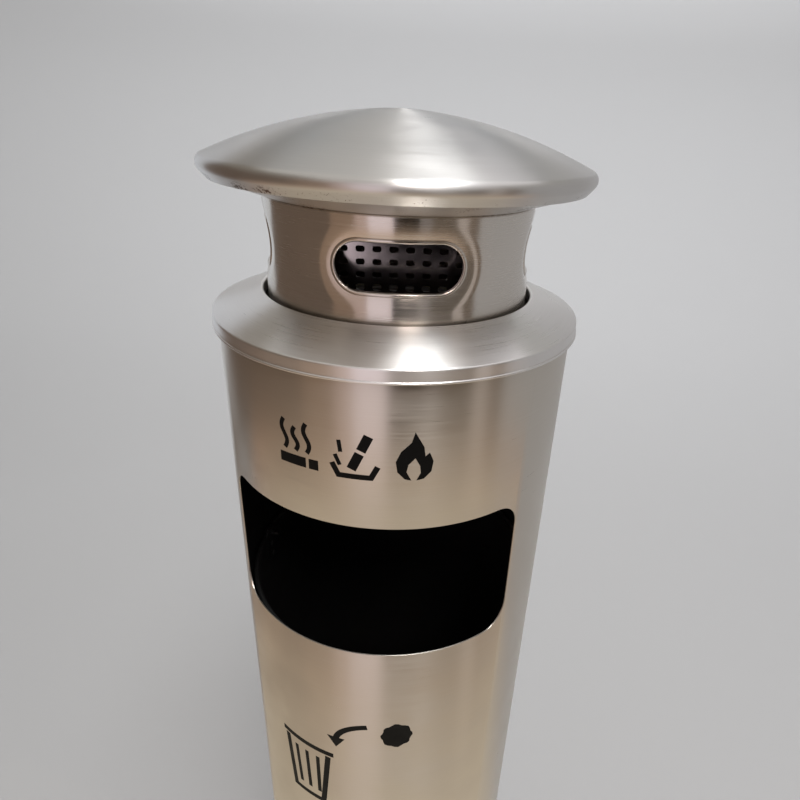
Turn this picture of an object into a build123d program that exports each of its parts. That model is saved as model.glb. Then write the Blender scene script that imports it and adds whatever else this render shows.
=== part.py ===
from build123d import *
from math import acos, atan2, cos, degrees, hypot, radians, sin, sqrt
import os

# A round, free-standing ashtray bin in millimetres. It stands on z = 0 with its axis on Z, and the
# disposal opening faces -Y. An azimuth is measured from -Y towards +X.

# ---- Driving sizes: tube --------------------------------------------------------------------
TOTAL_HEIGHT = 1000.0
BODY_DIAMETER = 250.0
SHEET = 1.0                # stainless sheet, used for every rolled and spun piece
FOLD_BEND = 1.6            # outer radius of a tight fold in that sheet
BASE_BEND = 2.5            # outer radius round a dished bottom
OPENING_HALF_ANGLE = 53.6  # the disposal opening, either side of the front
OPENING_HEIGHT = 111.2
OPENING_DROP = 100.5       # from the collar's lower edge down to the opening
OPENING_CORNER = 20.0
SHELL_TOP_GAP = 0.3        # under the cone, which rests on the tube's top edge
CUTTER_DEPTH = 24.0        # radial depth of the tool that cuts the opening

# ---- Driving sizes: collar ------------------------------------------------------------------
COLLAR_OVERHANG = 3.3      # skirt's outer face beyond the tube's
SKIRT_HEIGHT = 9.1
CONE_RISE = 14.0
COLLAR_BEND = 1.6          # outer radius of the bend between skirt and cone, and at the neck hole
NECK_LIP = 9.0             # turned-down lip at the neck hole
BEAD_RADIUS = 0.9          # rolled bead round the skirt's lower edge
LOCATING_DEPTH = 12.0      # the centring ring, below the skirt's lower edge
LOCATING_PLAY = 1.1

# ---- Driving sizes: head --------------------------------------------------------------------
HEAD_TURN = 11.0           # how far the head stands turned from the opening
NECK_DIAMETER = 182.0
NECK_GAP = 3.0             # between the neck and the collar's hole
NECK_VISIBLE = 60.4        # from the collar's top to the cap's underside
NECK_FLANGE = 13.0         # flange turned in at the neck's top
SLOT_LENGTH = 74.0
SLOT_HEIGHT = 28.0
SLOT_RISE = 30.7           # from the collar's top to the slots' centre line
SLOT_LIP = 2.0             # width of the pressed lip round each slot
LIP_DEPTH = 3.6
SIDES = 4                  # slots, and as many flats on the screen

SCREEN_FLAT = 55.0         # from the axis to the screen's outer faces
SCREEN_CORNER = 7.0
SCREEN_FOOT = 8.0          # the screen's lower edge above the collar's lower edge
HOLE_LENGTH = 5.6
HOLE_HEIGHT = 3.8
HOLE_PITCH = 10.3
ROW_PITCH = 7.9
HOLE_COLUMNS = 8
HOLE_ROWS = 8
HOLE_SHIFT = 1.65          # the middle of the punched field, off the middle of its flat
ROW_MARGIN = 10.0          # the lowest row above the screen's lower edge
TAB_WIDTH = 14.0
TAB_END = 4.5              # the tab past its screw's axis

CAP_DIAMETER = 256.0
CAP_HEIGHT = 42.6          # from the lip's cut edge to the top
LIP_RISE = 8.0             # from the lip's cut edge to the widest place
LIP_RADIUS = 5.5
LIP_SETBACK = 5.0          # the lip's cut edge inside the widest place
CROWN_RADIUS = 200.0       # the slightly pointed middle of the dome
CROWN_REACH = 20.0
CAP_SHEET = 1.2
UNDERSIDE_RISE = 9.5       # the cap's underside, from the neck out to the lip

# ---- Driving sizes: ash pan -----------------------------------------------------------------
LEDGE_DROP = 5.0           # the holder's ledge below the collar's lower edge
LEDGE_WIDTH = 10.0
HOLDER_TOP_GAP = 2.0       # the holder's top edge below the cone
PAN_PLAY = 1.5             # between the pan's flange and the neck hole it lifts out of
PAN_DEPTH = 54.0
PAN_FLANGE = 8.5
PAN_BEND = 8.0
SEAT_THICKNESS = 2.0
SEAT_WIDTH = 5.0
WELD_GAP = 0.1             # between welded or riveted neighbours that nest in each other

# ---- Driving sizes: inner bucket ------------------------------------------------------------
LINER_CLEARANCE = 7.0      # between the bucket's wall and the tube
LINER_DROP = 12.0          # its rim below the disposal opening
RIM_RADIUS = 2.0           # rolled rim
LINER_RECESS = 10.0        # its bottom above its lower edge
LINER_HEM = 8.0
EAR_WIDTH = 18.0
EAR_HEIGHT = 34.0
EAR_THICKNESS = 2.0
EAR_ABOVE_PIN = 6.0
EAR_CORNER = 6.0
RIVET_RADIUS = 2.0
RIVET_HEAD = 3.6
RIVET_HEAD_HEIGHT = 1.4
RIVET_ROUND = 1.1
RIVET_EDGE = 4.5           # the lower rivet above the ear's lower end
RIVET_SPACING = 12.0
WIRE_RADIUS = 2.0
WIRE_BEND = 3.0
WIRE_LIFT = 0.4            # the handle above the rim it lies on
PIN_LENGTH = 9.0
PIN_CLEARANCE = 0.08       # running fit of the handle's ends in the ears

# ---- Driving sizes: base --------------------------------------------------------------------
PAD_RADIUS = 9.0
PAD_HEIGHT = 7.0
PAD_POCKET = 2.0
PAD_CHAMFER = 1.0
FOOT_RING_HEIGHT = 16.0
FOOT_RING_WIDTH = 27.0
FOOT_RING_WALL = 2.0       # outside the tube
GROOVE_DEPTH = 11.0
GROOVE_PLAY = 0.1
BASE_PLATE_FLANGE = 14.0
PAD_CIRCLE_INSET = 13.0    # pads and base screws, inside the tube's outer face
FASTENERS = 4
BETWEEN = 45.0             # azimuth of the first screw of a ring, between two slots or pads
SINK_COVER = 1.0           # how deep the base screws' heads sit in the foot ring

# ---- Screws ---------------------------------------------------------------------------------
SCREW_RADIUS = 2.0
SCREW_HOLE_PLAY = 0.15
SCREW_HEAD_RADIUS = 3.8
SCREW_HEAD_HEIGHT = 2.6
SCREW_HEAD_ROUND = 1.0
SCREW_TIP = 5.0            # what stands past the last sheet
SCREW_POINT = 0.6          # chamfer at the tip
CROSS_WIDTH = 0.9
CROSS_LENGTH = 4.4
CROSS_DEPTH = 1.3
NUT_ACROSS_FLATS = 7.0
NUT_HEIGHT = 3.2
THREAD_GAP = 0.02

# ---- Places that follow from the sizes ------------------------------------------------------
BODY_R = BODY_DIAMETER / 2
BODY_INNER_R = BODY_R - SHEET
NECK_R = NECK_DIAMETER / 2
CAP_R = CAP_DIAMETER / 2
SKIRT_R = BODY_R + COLLAR_OVERHANG
HOLE_R = NECK_R + NECK_GAP

CAP_EDGE_Z = TOTAL_HEIGHT - CAP_HEIGHT
NECK_TOP_Z = CAP_EDGE_Z - UNDERSIDE_RISE
COLLAR_TOP_Z = NECK_TOP_Z - NECK_VISIBLE
SKIRT_TOP_Z = COLLAR_TOP_Z - CONE_RISE
SKIRT_Z = SKIRT_TOP_Z - SKIRT_HEIGHT

OPENING_TOP_Z = SKIRT_Z - OPENING_DROP
OPENING_Z = OPENING_TOP_Z - OPENING_HEIGHT

CONE_SLOPE = CONE_RISE / (SKIRT_R - HOLE_R)
CONE_THICKNESS_Z = SHEET * sqrt(1 + CONE_SLOPE ** 2)

LEDGE_Z = SKIRT_Z - LEDGE_DROP
HOLDER_R = HOLE_R + SHEET + WELD_GAP
PAN_R = HOLE_R - PAN_PLAY
PAN_WALL_R = PAN_R - PAN_FLANGE
PAN_FLANGE_Z = LEDGE_Z + SHEET
SEAT_Z = PAN_FLANGE_Z + SHEET
NECK_Z = SEAT_Z + SEAT_THICKNESS

RING_Z = PAD_HEIGHT - PAD_POCKET
PLATE_Z = RING_Z + FOOT_RING_HEIGHT
SHELL_Z = PLATE_Z - GROOVE_DEPTH
LINER_Z = PLATE_Z + SHEET
LINER_R = BODY_INNER_R - LINER_CLEARANCE
LINER_INNER_R = LINER_R - SHEET
RIM_Z = OPENING_Z - LINER_DROP
PIN_Z = RIM_Z + WIRE_LIFT + WIRE_RADIUS
BAIL_R = LINER_R + RIM_RADIUS
EAR_X = sqrt(LINER_INNER_R ** 2 - (EAR_WIDTH / 2) ** 2) - WELD_GAP

SCREEN_Z = SKIRT_Z + SCREEN_FOOT
FLANGE_Z = NECK_TOP_Z - SHEET
TAB_Z = FLANGE_Z - SHEET
SCREEN_TOP_Z = TAB_Z + SHEET
NECK_SCREW_R = NECK_R - SHEET - NECK_FLANGE / 2
RIVET_HOLE_R = RIVET_RADIUS + THREAD_GAP
PAD_CIRCLE_R = BODY_R - PAD_CIRCLE_INSET
BASE_SCREW_Z = RING_Z + SCREW_HEAD_HEIGHT + SINK_COVER
SCREW_HOLE_R = SCREW_RADIUS + SCREW_HOLE_PLAY
SCREW_SINK_R = SCREW_HEAD_RADIUS + SCREW_HOLE_PLAY


# ---- Helpers --------------------------------------------------------------------------------
def facing(azimuth):
    """Turn something that faces -Y to face an azimuth."""
    return Rot(0, 0, azimuth)


def turned(points):
    """Solid of revolution about Z from a closed outline of (radius, height) points."""
    outline = Polyline(*points, close=True)
    return revolve(Plane.XZ * make_face(outline), axis=Axis.Z)


def tube(inner, outer, low, high):
    """Plain ring from one height to another."""
    return turned([(inner, low), (outer, low), (outer, high), (inner, high)])


def disc(radius, low, high):
    """Plain round plate or pin on the Z axis."""
    return Pos(0, 0, low) * Cylinder(radius, high - low, align=(Align.CENTER, Align.CENTER, Align.MIN))


def left_of(points, distance):
    """The open line of points moved to its left-hand side by a distance."""
    directions = []
    for (x0, y0), (x1, y1) in zip(points, points[1:]):
        length = hypot(x1 - x0, y1 - y0)
        directions.append(((x1 - x0) / length, (y1 - y0) / length))
    moved = []
    for i, (x, y) in enumerate(points):
        before = directions[max(i - 1, 0)]
        after = directions[min(i, len(directions) - 1)]
        normal = (-(before[1] + after[1]), before[0] + after[0])
        scale = distance * 2 / (normal[0] ** 2 + normal[1] ** 2)
        moved.append((x + normal[0] * scale, y + normal[1] * scale))
    return moved


def spun(points, bends, thickness=SHEET):
    """Spun sheet: an open (radius, height) line, bent at its corners, with its metal on the left.

    bends gives the radius on the outer side of each corner, whichever way the line turns there.
    """
    inner = left_of(points, thickness)
    near = []
    far = []
    for before, here, after, bend in zip(points, points[1:], points[2:], bends):
        ux, uy = here[0] - before[0], here[1] - before[1]
        vx, vy = after[0] - here[0], after[1] - here[1]
        turns_left = ux * vy - uy * vx > 0
        near.append(bend if turns_left else bend - thickness)
        far.append(bend - thickness if turns_left else bend)
    outer_line = FilletPolyline(*points, radius=near)
    inner_line = FilletPolyline(*inner, radius=far)
    ends = [Line(points[0], inner[0]), Line(points[-1], inner[-1])]
    return revolve(Plane.XZ * make_face([outer_line, inner_line, *ends]), axis=Axis.Z)


def obround(length, height, near, far):
    """Obround prism that lies across -Y, between two distances from the axis."""
    outline = Plane.XZ.offset(near) * SlotOverall(length, height)
    return extrude(outline, far - near)


def screw(grip):
    """Pan-head screw pointing up: its head's bearing face is at z = 0 and its grip is above."""
    head = disc(SCREW_HEAD_RADIUS, -SCREW_HEAD_HEIGHT, 0)
    head = fillet(head.edges().sort_by(Axis.Z)[0], SCREW_HEAD_ROUND)
    shank = disc(SCREW_RADIUS, 0, grip + SCREW_TIP)
    shank = chamfer(shank.edges().sort_by(Axis.Z)[-1], SCREW_POINT)
    arm = Pos(0, 0, CROSS_DEPTH / 2 - SCREW_HEAD_HEIGHT) * Box(CROSS_LENGTH, CROSS_WIDTH, CROSS_DEPTH)
    return head + shank - arm - Rot(0, 0, 90) * arm


def nut():
    """Hexagon nut standing on z = 0."""
    body = extrude(RegularPolygon(NUT_ACROSS_FLATS / 2, 6, major_radius=False), NUT_HEIGHT)
    return body - disc(SCREW_RADIUS + THREAD_GAP, 0, NUT_HEIGHT)


def polar_group(piece, count, radius, height, first_azimuth):
    """Copies of a piece round the axis, as one group of separate solids."""
    step = 360 / count
    copies = [facing(first_azimuth + i * step) * Pos(0, -radius, height) * piece for i in range(count)]
    return Compound(children=copies)


def polar_holes(radius, low, high, circle, first_azimuth):
    """Round holes for one ring of fasteners."""
    hole = disc(radius, low, high)
    step = 360 / FASTENERS
    return [facing(first_azimuth + i * step) * Pos(0, -circle, 0) * hole for i in range(FASTENERS)]


# ---- Tube and base --------------------------------------------------------------------------
def cone_underside(radius):
    """Height of the collar cone's lower face at a radius."""
    return SKIRT_TOP_Z + (SKIRT_R - radius) * CONE_SLOPE - CONE_THICKNESS_Z


def opening_cutter():
    """Wedge through the front of the tube whose radial edges are rounded."""
    middle = (OPENING_Z + OPENING_TOP_Z) / 2
    section = Plane.XZ * Pos(BODY_R, middle) * Rectangle(CUTTER_DEPTH, OPENING_HEIGHT)
    wedge = revolve(section, axis=Axis.Z, revolution_arc=2 * OPENING_HALF_ANGLE)
    corners = wedge.edges().filter_by(GeomType.LINE).filter_by(Axis.Z, reverse=True)
    wedge = fillet(corners, OPENING_CORNER)
    return Rot(0, 0, -90 - OPENING_HALF_ANGLE) * wedge


def body_shell():
    """Rolled tube: stands in the foot ring's groove and carries the collar on its top edge."""
    top = cone_underside(BODY_R) - SHELL_TOP_GAP
    return tube(BODY_INNER_R, BODY_R, SHELL_Z, top) - opening_cutter()


def base_plate():
    """Dished bottom, welded into the tube and standing on the foot ring."""
    rim = BODY_INNER_R - WELD_GAP
    line = [(0, PLATE_Z), (rim, PLATE_Z), (rim, PLATE_Z + BASE_PLATE_FLANGE)]
    holes = polar_holes(SCREW_HOLE_R, PLATE_Z, PLATE_Z + SHEET, PAD_CIRCLE_R, BETWEEN)
    return spun(line, [BASE_BEND]) - holes


def base_ring():
    """Plastic foot ring with a groove for the tube, pockets for the pads and counterbored holes."""
    outer = BODY_R + FOOT_RING_WALL
    inner = outer - FOOT_RING_WIDTH
    groove = tube(BODY_INNER_R - GROOVE_PLAY, BODY_R + GROOVE_PLAY, SHELL_Z, PLATE_Z)
    ring = tube(inner, outer, RING_Z, PLATE_Z) - groove
    pockets = polar_holes(PAD_RADIUS + GROOVE_PLAY, RING_Z, RING_Z + PAD_POCKET, PAD_CIRCLE_R, 0)
    bores = polar_holes(SCREW_HOLE_R, RING_Z, PLATE_Z, PAD_CIRCLE_R, BETWEEN)
    sinks = polar_holes(SCREW_SINK_R, RING_Z, BASE_SCREW_Z, PAD_CIRCLE_R, BETWEEN)
    return ring - pockets - bores - sinks


def foot_pads():
    """Rubber pads, pushed into the foot ring's pockets."""
    pad = disc(PAD_RADIUS, 0, PAD_HEIGHT)
    pad = chamfer(pad.edges().sort_by(Axis.Z)[0], PAD_CHAMFER)
    return polar_group(pad, FASTENERS, PAD_CIRCLE_R, 0, 0)


def base_screws():
    """Screws up through the foot ring and the base plate."""
    grip = PLATE_Z + SHEET - BASE_SCREW_Z
    return polar_group(screw(grip), FASTENERS, PAD_CIRCLE_R, BASE_SCREW_Z, BETWEEN)


# ---- Inner bucket ---------------------------------------------------------------------------
def ear_height_span():
    """Lower and upper ends of the ears."""
    top = PIN_Z + EAR_ABOVE_PIN
    return top - EAR_HEIGHT, top


def rivet_heights():
    """Heights of an ear's two rivets."""
    first = ear_height_span()[0] + RIVET_EDGE
    return first, first + RIVET_SPACING


def both_sides(piece):
    """A piece on the +X side and its twin on the -X side."""
    return [piece, Rot(0, 0, 180) * piece]


def liner_wall():
    """Rolled wall with a rim rolled outwards, drilled for the ear rivets."""
    wall = tube(LINER_INNER_R, LINER_R, LINER_Z, RIM_Z - RIM_RADIUS)
    rim = revolve(Plane.XZ * Pos(BAIL_R - SHEET, RIM_Z - RIM_RADIUS) * Circle(RIM_RADIUS), axis=Axis.Z)
    neck_of_rim = tube(LINER_INNER_R, BAIL_R - SHEET, RIM_Z - RIM_RADIUS - SHEET, RIM_Z - RIM_RADIUS)
    holes = []
    for height in rivet_heights():
        holes += both_sides(cross_pin(RIVET_HOLE_R, EAR_X, LINER_R, height))
    return wall + neck_of_rim + rim - holes


def liner_bottom():
    """Recessed bottom with its hem turned down inside the wall."""
    rim = LINER_INNER_R - WELD_GAP
    level = LINER_Z + LINER_RECESS
    line = [(rim, level - LINER_HEM), (rim, level + SHEET), (0, level + SHEET)]
    return spun(line, [BASE_BEND])


def cross_pin(radius, near, far, height):
    """Round pin or hole along X at a height, between two distances from the axis."""
    return Pos(0, 0, height) * Rot(0, 90, 0) * disc(radius, near, far)


def liner_ears():
    """Flat ears inside the wall, drilled for the handle's ends above the rim and for two rivets."""
    low, top = ear_height_span()
    plate = Pos(0, 0, (low + top) / 2) * Box(EAR_THICKNESS, EAR_WIDTH, top - low)
    plate = fillet(plate.edges().filter_by(Axis.X), EAR_CORNER)
    near = EAR_X - EAR_THICKNESS
    ear = Pos((near + EAR_X) / 2, 0, 0) * plate
    ear -= cross_pin(WIRE_RADIUS + PIN_CLEARANCE, near, EAR_X, PIN_Z)
    for height in rivet_heights():
        ear -= cross_pin(RIVET_HOLE_R, near, EAR_X, height)
    return Compound(children=both_sides(ear))


def ear_rivets():
    """Rivets through ear and wall, a low round head on each side."""
    near = EAR_X - EAR_THICKNESS
    far = LINER_R
    inner_head = disc(RIVET_HEAD, near - RIVET_HEAD_HEIGHT, near)
    inner_head = fillet(inner_head.edges().sort_by(Axis.Z)[0], RIVET_ROUND)
    outer_head = disc(RIVET_HEAD, far, far + RIVET_HEAD_HEIGHT)
    outer_head = fillet(outer_head.edges().sort_by(Axis.Z)[-1], RIVET_ROUND)
    rivet = Rot(0, 90, 0) * (disc(RIVET_RADIUS, near, far) + inner_head + outer_head)
    rivets = []
    for height in rivet_heights():
        rivets += both_sides(Pos(0, 0, height) * rivet)
    return Compound(children=rivets)


def bail_handle():
    """Half-round wire handle, lying on the rim at the back, its ends hooked in through the ears."""
    elbow_angle = degrees(WIRE_BEND / BAIL_R)
    half = CenterArc((0, 0), BAIL_R, elbow_angle, 90 - elbow_angle)
    elbow = TangentArc(half @ 0, Vector((half @ 0).X - WIRE_BEND, 0), tangent=-(half % 0))
    hook = Line(elbow @ 1, Vector(EAR_X - PIN_LENGTH, 0))
    path = Wire([half, elbow, hook])
    section = Plane(origin=path @ 0, z_dir=path % 0) * Circle(WIRE_RADIUS)
    side = sweep(section, path=path)
    return Pos(0, 0, PIN_Z) * (side + mirror(side, about=Plane.YZ))


# ---- Collar ---------------------------------------------------------------------------------
def collar_cover():
    """Skirt, cone and the lip turned down round the neck hole, with a bead round the skirt."""
    line = [
        (SKIRT_R, SKIRT_Z),
        (SKIRT_R, SKIRT_TOP_Z),
        (HOLE_R, COLLAR_TOP_Z),
        (HOLE_R, COLLAR_TOP_Z - NECK_LIP),
    ]
    bead_centre = Pos(SKIRT_R - SHEET / 2 + BEAD_RADIUS / 2, SKIRT_Z + BEAD_RADIUS)
    bead = revolve(Plane.XZ * bead_centre * Circle(BEAD_RADIUS), axis=Axis.Z)
    return spun(line, [COLLAR_BEND, COLLAR_BEND]) + bead


def locating_ring():
    """Ring welded under the cone that centres the collar in the tube."""
    outer = BODY_INNER_R - LOCATING_PLAY
    inner = outer - SHEET
    low = SKIRT_Z - LOCATING_DEPTH
    outer_top = cone_underside(outer)
    inner_top = cone_underside(inner)
    return turned([(inner, low), (outer, low), (outer, outer_top), (inner, inner_top)])


def pan_holder():
    """Sleeve round the neck hole whose ledge carries the ash pan."""
    top = cone_underside(HOLDER_R + SHEET) - HOLDER_TOP_GAP
    outer = HOLDER_R + SHEET
    line = [(outer - LEDGE_WIDTH, LEDGE_Z), (outer, LEDGE_Z), (outer, top)]
    return spun(line, [FOLD_BEND])


# ---- Ash pan and seat -----------------------------------------------------------------------
def ash_pan():
    """Drop-in pan that hangs by its flange."""
    floor = PAN_FLANGE_Z - PAN_DEPTH
    line = [(0, floor), (PAN_WALL_R, floor), (PAN_WALL_R, PAN_FLANGE_Z), (PAN_R, PAN_FLANGE_Z)]
    return spun(line, [PAN_BEND, FOLD_BEND])


def seat_ring():
    """Nylon ring between the pan's flange and the neck's lower edge."""
    middle = NECK_R - SHEET / 2
    return tube(middle - SEAT_WIDTH / 2, middle + SEAT_WIDTH / 2 - 1.0, SEAT_Z, NECK_Z)


# ---- Head -----------------------------------------------------------------------------------
def neck_ring():
    """Rolled band, flanged in at the top, with a pressed lip round each slot."""
    line = [(NECK_R, NECK_Z), (NECK_R, NECK_TOP_Z), (NECK_R - NECK_FLANGE - SHEET, NECK_TOP_Z)]
    band = spun(line, [FOLD_BEND])
    level = Pos(0, 0, COLLAR_TOP_Z + SLOT_RISE)
    near, far = SCREEN_FLAT + 10, NECK_R + 10
    pressed = tube(NECK_R - LIP_DEPTH, NECK_R, COLLAR_TOP_Z, FLANGE_Z)
    outside = obround(SLOT_LENGTH + 2 * SLOT_LIP, SLOT_HEIGHT + 2 * SLOT_LIP, near, far)
    inside = obround(SLOT_LENGTH, SLOT_HEIGHT, near, far)
    for i in range(SIDES):
        side = facing(i * 360 / SIDES) * level
        band += pressed & (side * outside)
    for i in range(SIDES):
        band -= facing(i * 360 / SIDES) * level * inside
    holes = polar_holes(SCREW_HOLE_R, FLANGE_Z, NECK_TOP_Z, NECK_SCREW_R, BETWEEN)
    return facing(HEAD_TURN) * (band - holes)


def stub_screen():
    """Square cage of perforated sheet: rows of obround holes on four flats, four tabs at the top."""
    height = SCREEN_TOP_Z - SCREEN_Z
    outside = extrude(RectangleRounded(2 * SCREEN_FLAT, 2 * SCREEN_FLAT, SCREEN_CORNER), height)
    bore = 2 * (SCREEN_FLAT - SHEET)
    inside = extrude(RectangleRounded(bore, bore, SCREEN_CORNER - SHEET), height)
    middle = ROW_MARGIN + (HOLE_ROWS - 1) * ROW_PITCH / 2
    hole = Pos(HOLE_SHIFT, middle) * SlotOverall(HOLE_LENGTH, HOLE_HEIGHT)
    grid = GridLocations(HOLE_PITCH, ROW_PITCH, HOLE_COLUMNS, HOLE_ROWS)
    field = Sketch() + [place * hole for place in grid]
    punches = extrude(Plane.XZ * field, SCREEN_FLAT + 5, both=True)
    cage = outside - inside - punches - Rot(0, 0, 90) * punches
    cage = Pos(0, 0, SCREEN_Z) * cage
    corner = SCREEN_FLAT * sqrt(2) - SCREEN_CORNER * (sqrt(2) - 1)
    root = corner - 2 * SHEET
    reach = NECK_SCREW_R + TAB_END
    tab = Pos(0, -(root + reach) / 2, TAB_Z + SHEET / 2) * Box(TAB_WIDTH, reach - root, SHEET)
    for i in range(SIDES):
        cage += facing(BETWEEN + i * 360 / SIDES) * tab
    holes = polar_holes(SCREW_HOLE_R, TAB_Z, TAB_Z + SHEET, NECK_SCREW_R, BETWEEN)
    return facing(HEAD_TURN) * (cage - holes)


def neck_screws():
    """Screws up through the screen's tabs, the neck's flange and the cap's underside."""
    return polar_group(screw(3 * SHEET), FASTENERS, NECK_SCREW_R, TAB_Z, BETWEEN + HEAD_TURN)


def neck_nuts():
    """Nuts on those screws, inside the closed cap."""
    return polar_group(nut(), FASTENERS, NECK_SCREW_R, NECK_TOP_Z + SHEET, BETWEEN + HEAD_TURN)


def unit(angle):
    """Direction in the (radius, height) plane, from an angle in radians."""
    return Vector(cos(angle), sin(angle))


def lip_lines():
    """The curled lip's centre, its cut edge, the angle where arc meets straight return, and that return's length."""
    centre = Vector(CAP_R - LIP_RADIUS, CAP_EDGE_Z + LIP_RISE)
    edge = Vector(CAP_R - LIP_SETBACK, CAP_EDGE_Z)
    span = edge - centre
    end_angle = atan2(span.Y, span.X) + acos(LIP_RADIUS / span.length)
    return centre, edge, end_angle, sqrt(span.length ** 2 - LIP_RADIUS ** 2)


def dome_line(inset):
    """The dome's outer line moved inwards: crown, main arc, lip arc and straight return, all tangent."""
    crown_centre = Vector(0, TOTAL_HEIGHT - CROWN_RADIUS)
    join_angle = acos(CROWN_REACH / CROWN_RADIUS)
    join = crown_centre + unit(join_angle) * CROWN_RADIUS
    lip_centre, edge, end_angle, _ = lip_lines()
    span = lip_centre - join
    along = span.dot(unit(join_angle)) + LIP_RADIUS
    main_radius = (LIP_RADIUS ** 2 - span.length ** 2) / (2 * along)
    main_centre = join - unit(join_angle) * main_radius
    slope = lip_centre - main_centre
    lip_angle = atan2(slope.Y, slope.X)
    arcs = [
        (crown_centre, CROWN_RADIUS, radians(90), join_angle),
        (main_centre, main_radius, join_angle, lip_angle),
        (lip_centre, LIP_RADIUS, lip_angle, end_angle),
    ]
    line = []
    for centre, radius, start, end in arcs:
        angles = (start, (start + end) / 2, end)
        line.append(ThreePointArc(*[centre + unit(a) * (radius - inset) for a in angles]))
    return line + [Line(line[-1] @ 1, edge - unit(end_angle) * inset)]


def cap_dome():
    """Spun dome, curled at its edge."""
    outer = dome_line(0)
    inner = dome_line(CAP_SHEET)
    ends = [Line(outer[0] @ 0, inner[0] @ 0), Line(outer[-1] @ 1, inner[-1] @ 1)]
    return revolve(Plane.XZ * make_face([*outer, *inner, *ends]), axis=Axis.Z)


def cap_underside():
    """Plate under the dome: flat over the neck, then a cone out to the lip it is crimped against."""
    _, edge, end_angle, straight = lip_lines()
    seat = edge - unit(end_angle) * CAP_SHEET
    up_the_lip = unit(end_angle + radians(90))
    slope = (seat.Y - NECK_TOP_Z) / (seat.X - NECK_R)
    plate_z = SHEET * sqrt(1 + slope ** 2)
    crimped = plate_z / (up_the_lip.Y - slope * up_the_lip.X)
    seat_top = seat + up_the_lip * min(crimped, straight)
    points = [
        (0, NECK_TOP_Z),
        (NECK_R, NECK_TOP_Z),
        (seat.X, seat.Y),
        (seat_top.X, seat_top.Y),
        (NECK_R, NECK_TOP_Z + SHEET),
        (0, NECK_TOP_Z + SHEET),
    ]
    holes = polar_holes(SCREW_HOLE_R, NECK_TOP_Z, NECK_TOP_Z + SHEET, NECK_SCREW_R, BETWEEN)
    return facing(HEAD_TURN) * (turned(points) - holes)


NODES = {
    "body_shell": body_shell,
    "base_plate": base_plate,
    "base_ring": base_ring,
    "foot_pads": foot_pads,
    "base_screws": base_screws,
    "liner_wall": liner_wall,
    "liner_bottom": liner_bottom,
    "liner_ears": liner_ears,
    "ear_rivets": ear_rivets,
    "bail_handle": bail_handle,
    "collar_cover": collar_cover,
    "locating_ring": locating_ring,
    "pan_holder": pan_holder,
    "ash_pan": ash_pan,
    "seat_ring": seat_ring,
    "neck_ring": neck_ring,
    "stub_screen": stub_screen,
    "neck_screws": neck_screws,
    "neck_nuts": neck_nuts,
    "cap_underside": cap_underside,
    "cap_dome": cap_dome,
}

os.makedirs("parts", exist_ok=True)
for name, build in NODES.items():
    piece = build()
    export_step(piece, f"parts/{name}.step")
    print(name, round(piece.volume / 1000, 2), "cm3")
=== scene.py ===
# %% [markdown]
# # An ashtray bin in spun and rolled stainless steel
# The bin is a brushed tube with a collar, a short neck with four slots, and a domed cap. The CAD frame
# holds every size and every joint. This lesson keeps those sizes and gives each piece its real surface:
# first the camera, then the finishes, then the pieces, and last the studio around them.

# %% Load the frame
import bmesh
import bpy
import math
from mathutils import Matrix, Vector


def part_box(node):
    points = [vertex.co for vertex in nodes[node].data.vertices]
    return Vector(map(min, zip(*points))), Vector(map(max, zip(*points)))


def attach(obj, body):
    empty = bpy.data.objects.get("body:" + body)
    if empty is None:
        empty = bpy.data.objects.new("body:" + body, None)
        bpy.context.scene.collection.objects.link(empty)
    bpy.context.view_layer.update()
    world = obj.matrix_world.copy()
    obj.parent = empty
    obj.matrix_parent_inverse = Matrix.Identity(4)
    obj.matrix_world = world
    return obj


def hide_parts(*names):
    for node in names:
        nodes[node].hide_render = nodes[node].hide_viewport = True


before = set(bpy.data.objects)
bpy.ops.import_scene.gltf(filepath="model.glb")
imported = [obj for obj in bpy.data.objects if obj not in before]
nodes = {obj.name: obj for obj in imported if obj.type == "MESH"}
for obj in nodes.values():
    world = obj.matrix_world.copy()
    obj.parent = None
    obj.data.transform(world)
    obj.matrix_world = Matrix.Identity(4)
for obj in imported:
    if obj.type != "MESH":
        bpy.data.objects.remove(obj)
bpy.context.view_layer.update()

# %% [markdown]
# ## Sizes
# Everything is in metres, and drawings of sheet metal are in millimetres, so MM turns one into the other.
# The heights come from the frame's own boxes, so a taller bin would carry its finish with it.

# %% Sizes from the frame
MM = 0.001
SHEET = 1.0 * MM                     # stainless sheet of every rolled and spun piece
HEAD_TURN = math.radians(11)         # how far the head stands turned from the opening

top_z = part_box("cap_dome")[1].z
cap_edge_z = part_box("cap_dome")[0].z
cap_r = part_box("cap_dome")[1].x
neck_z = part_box("neck_ring")[0].z
neck_top_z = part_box("neck_ring")[1].z
neck_r = 91.0 * MM
skirt_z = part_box("collar_cover")[0].z
body_low, body_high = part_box("body_shell")
body_r = body_high.x
print("tube radius", round(body_r / MM, 1), "mm, collar's lower edge at", round(skirt_z / MM, 1), "mm")

# %% [markdown]
# ## Camera
# A person stands close to the bin and looks down on it, so the tube narrows towards the floor. The camera
# is aimed with three turns: sideways, down and a slight tilt of the hand. The lens is short, as on a phone.

# %% Camera
CAMERA_REACH = 0.4209                # from the bin's axis
CAMERA_ABOVE = 0.1352                # above the collar's lower edge
CAMERA_YAW = math.radians(4.65)
CAMERA_PITCH = math.radians(26.02)
CAMERA_ROLL = math.radians(3.33)
LENS = 26.6                          # focal length in mm, on Blender's 36 mm sensor
LENS_SHIFT = -0.0494                 # picture moved sideways, in widths


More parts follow.
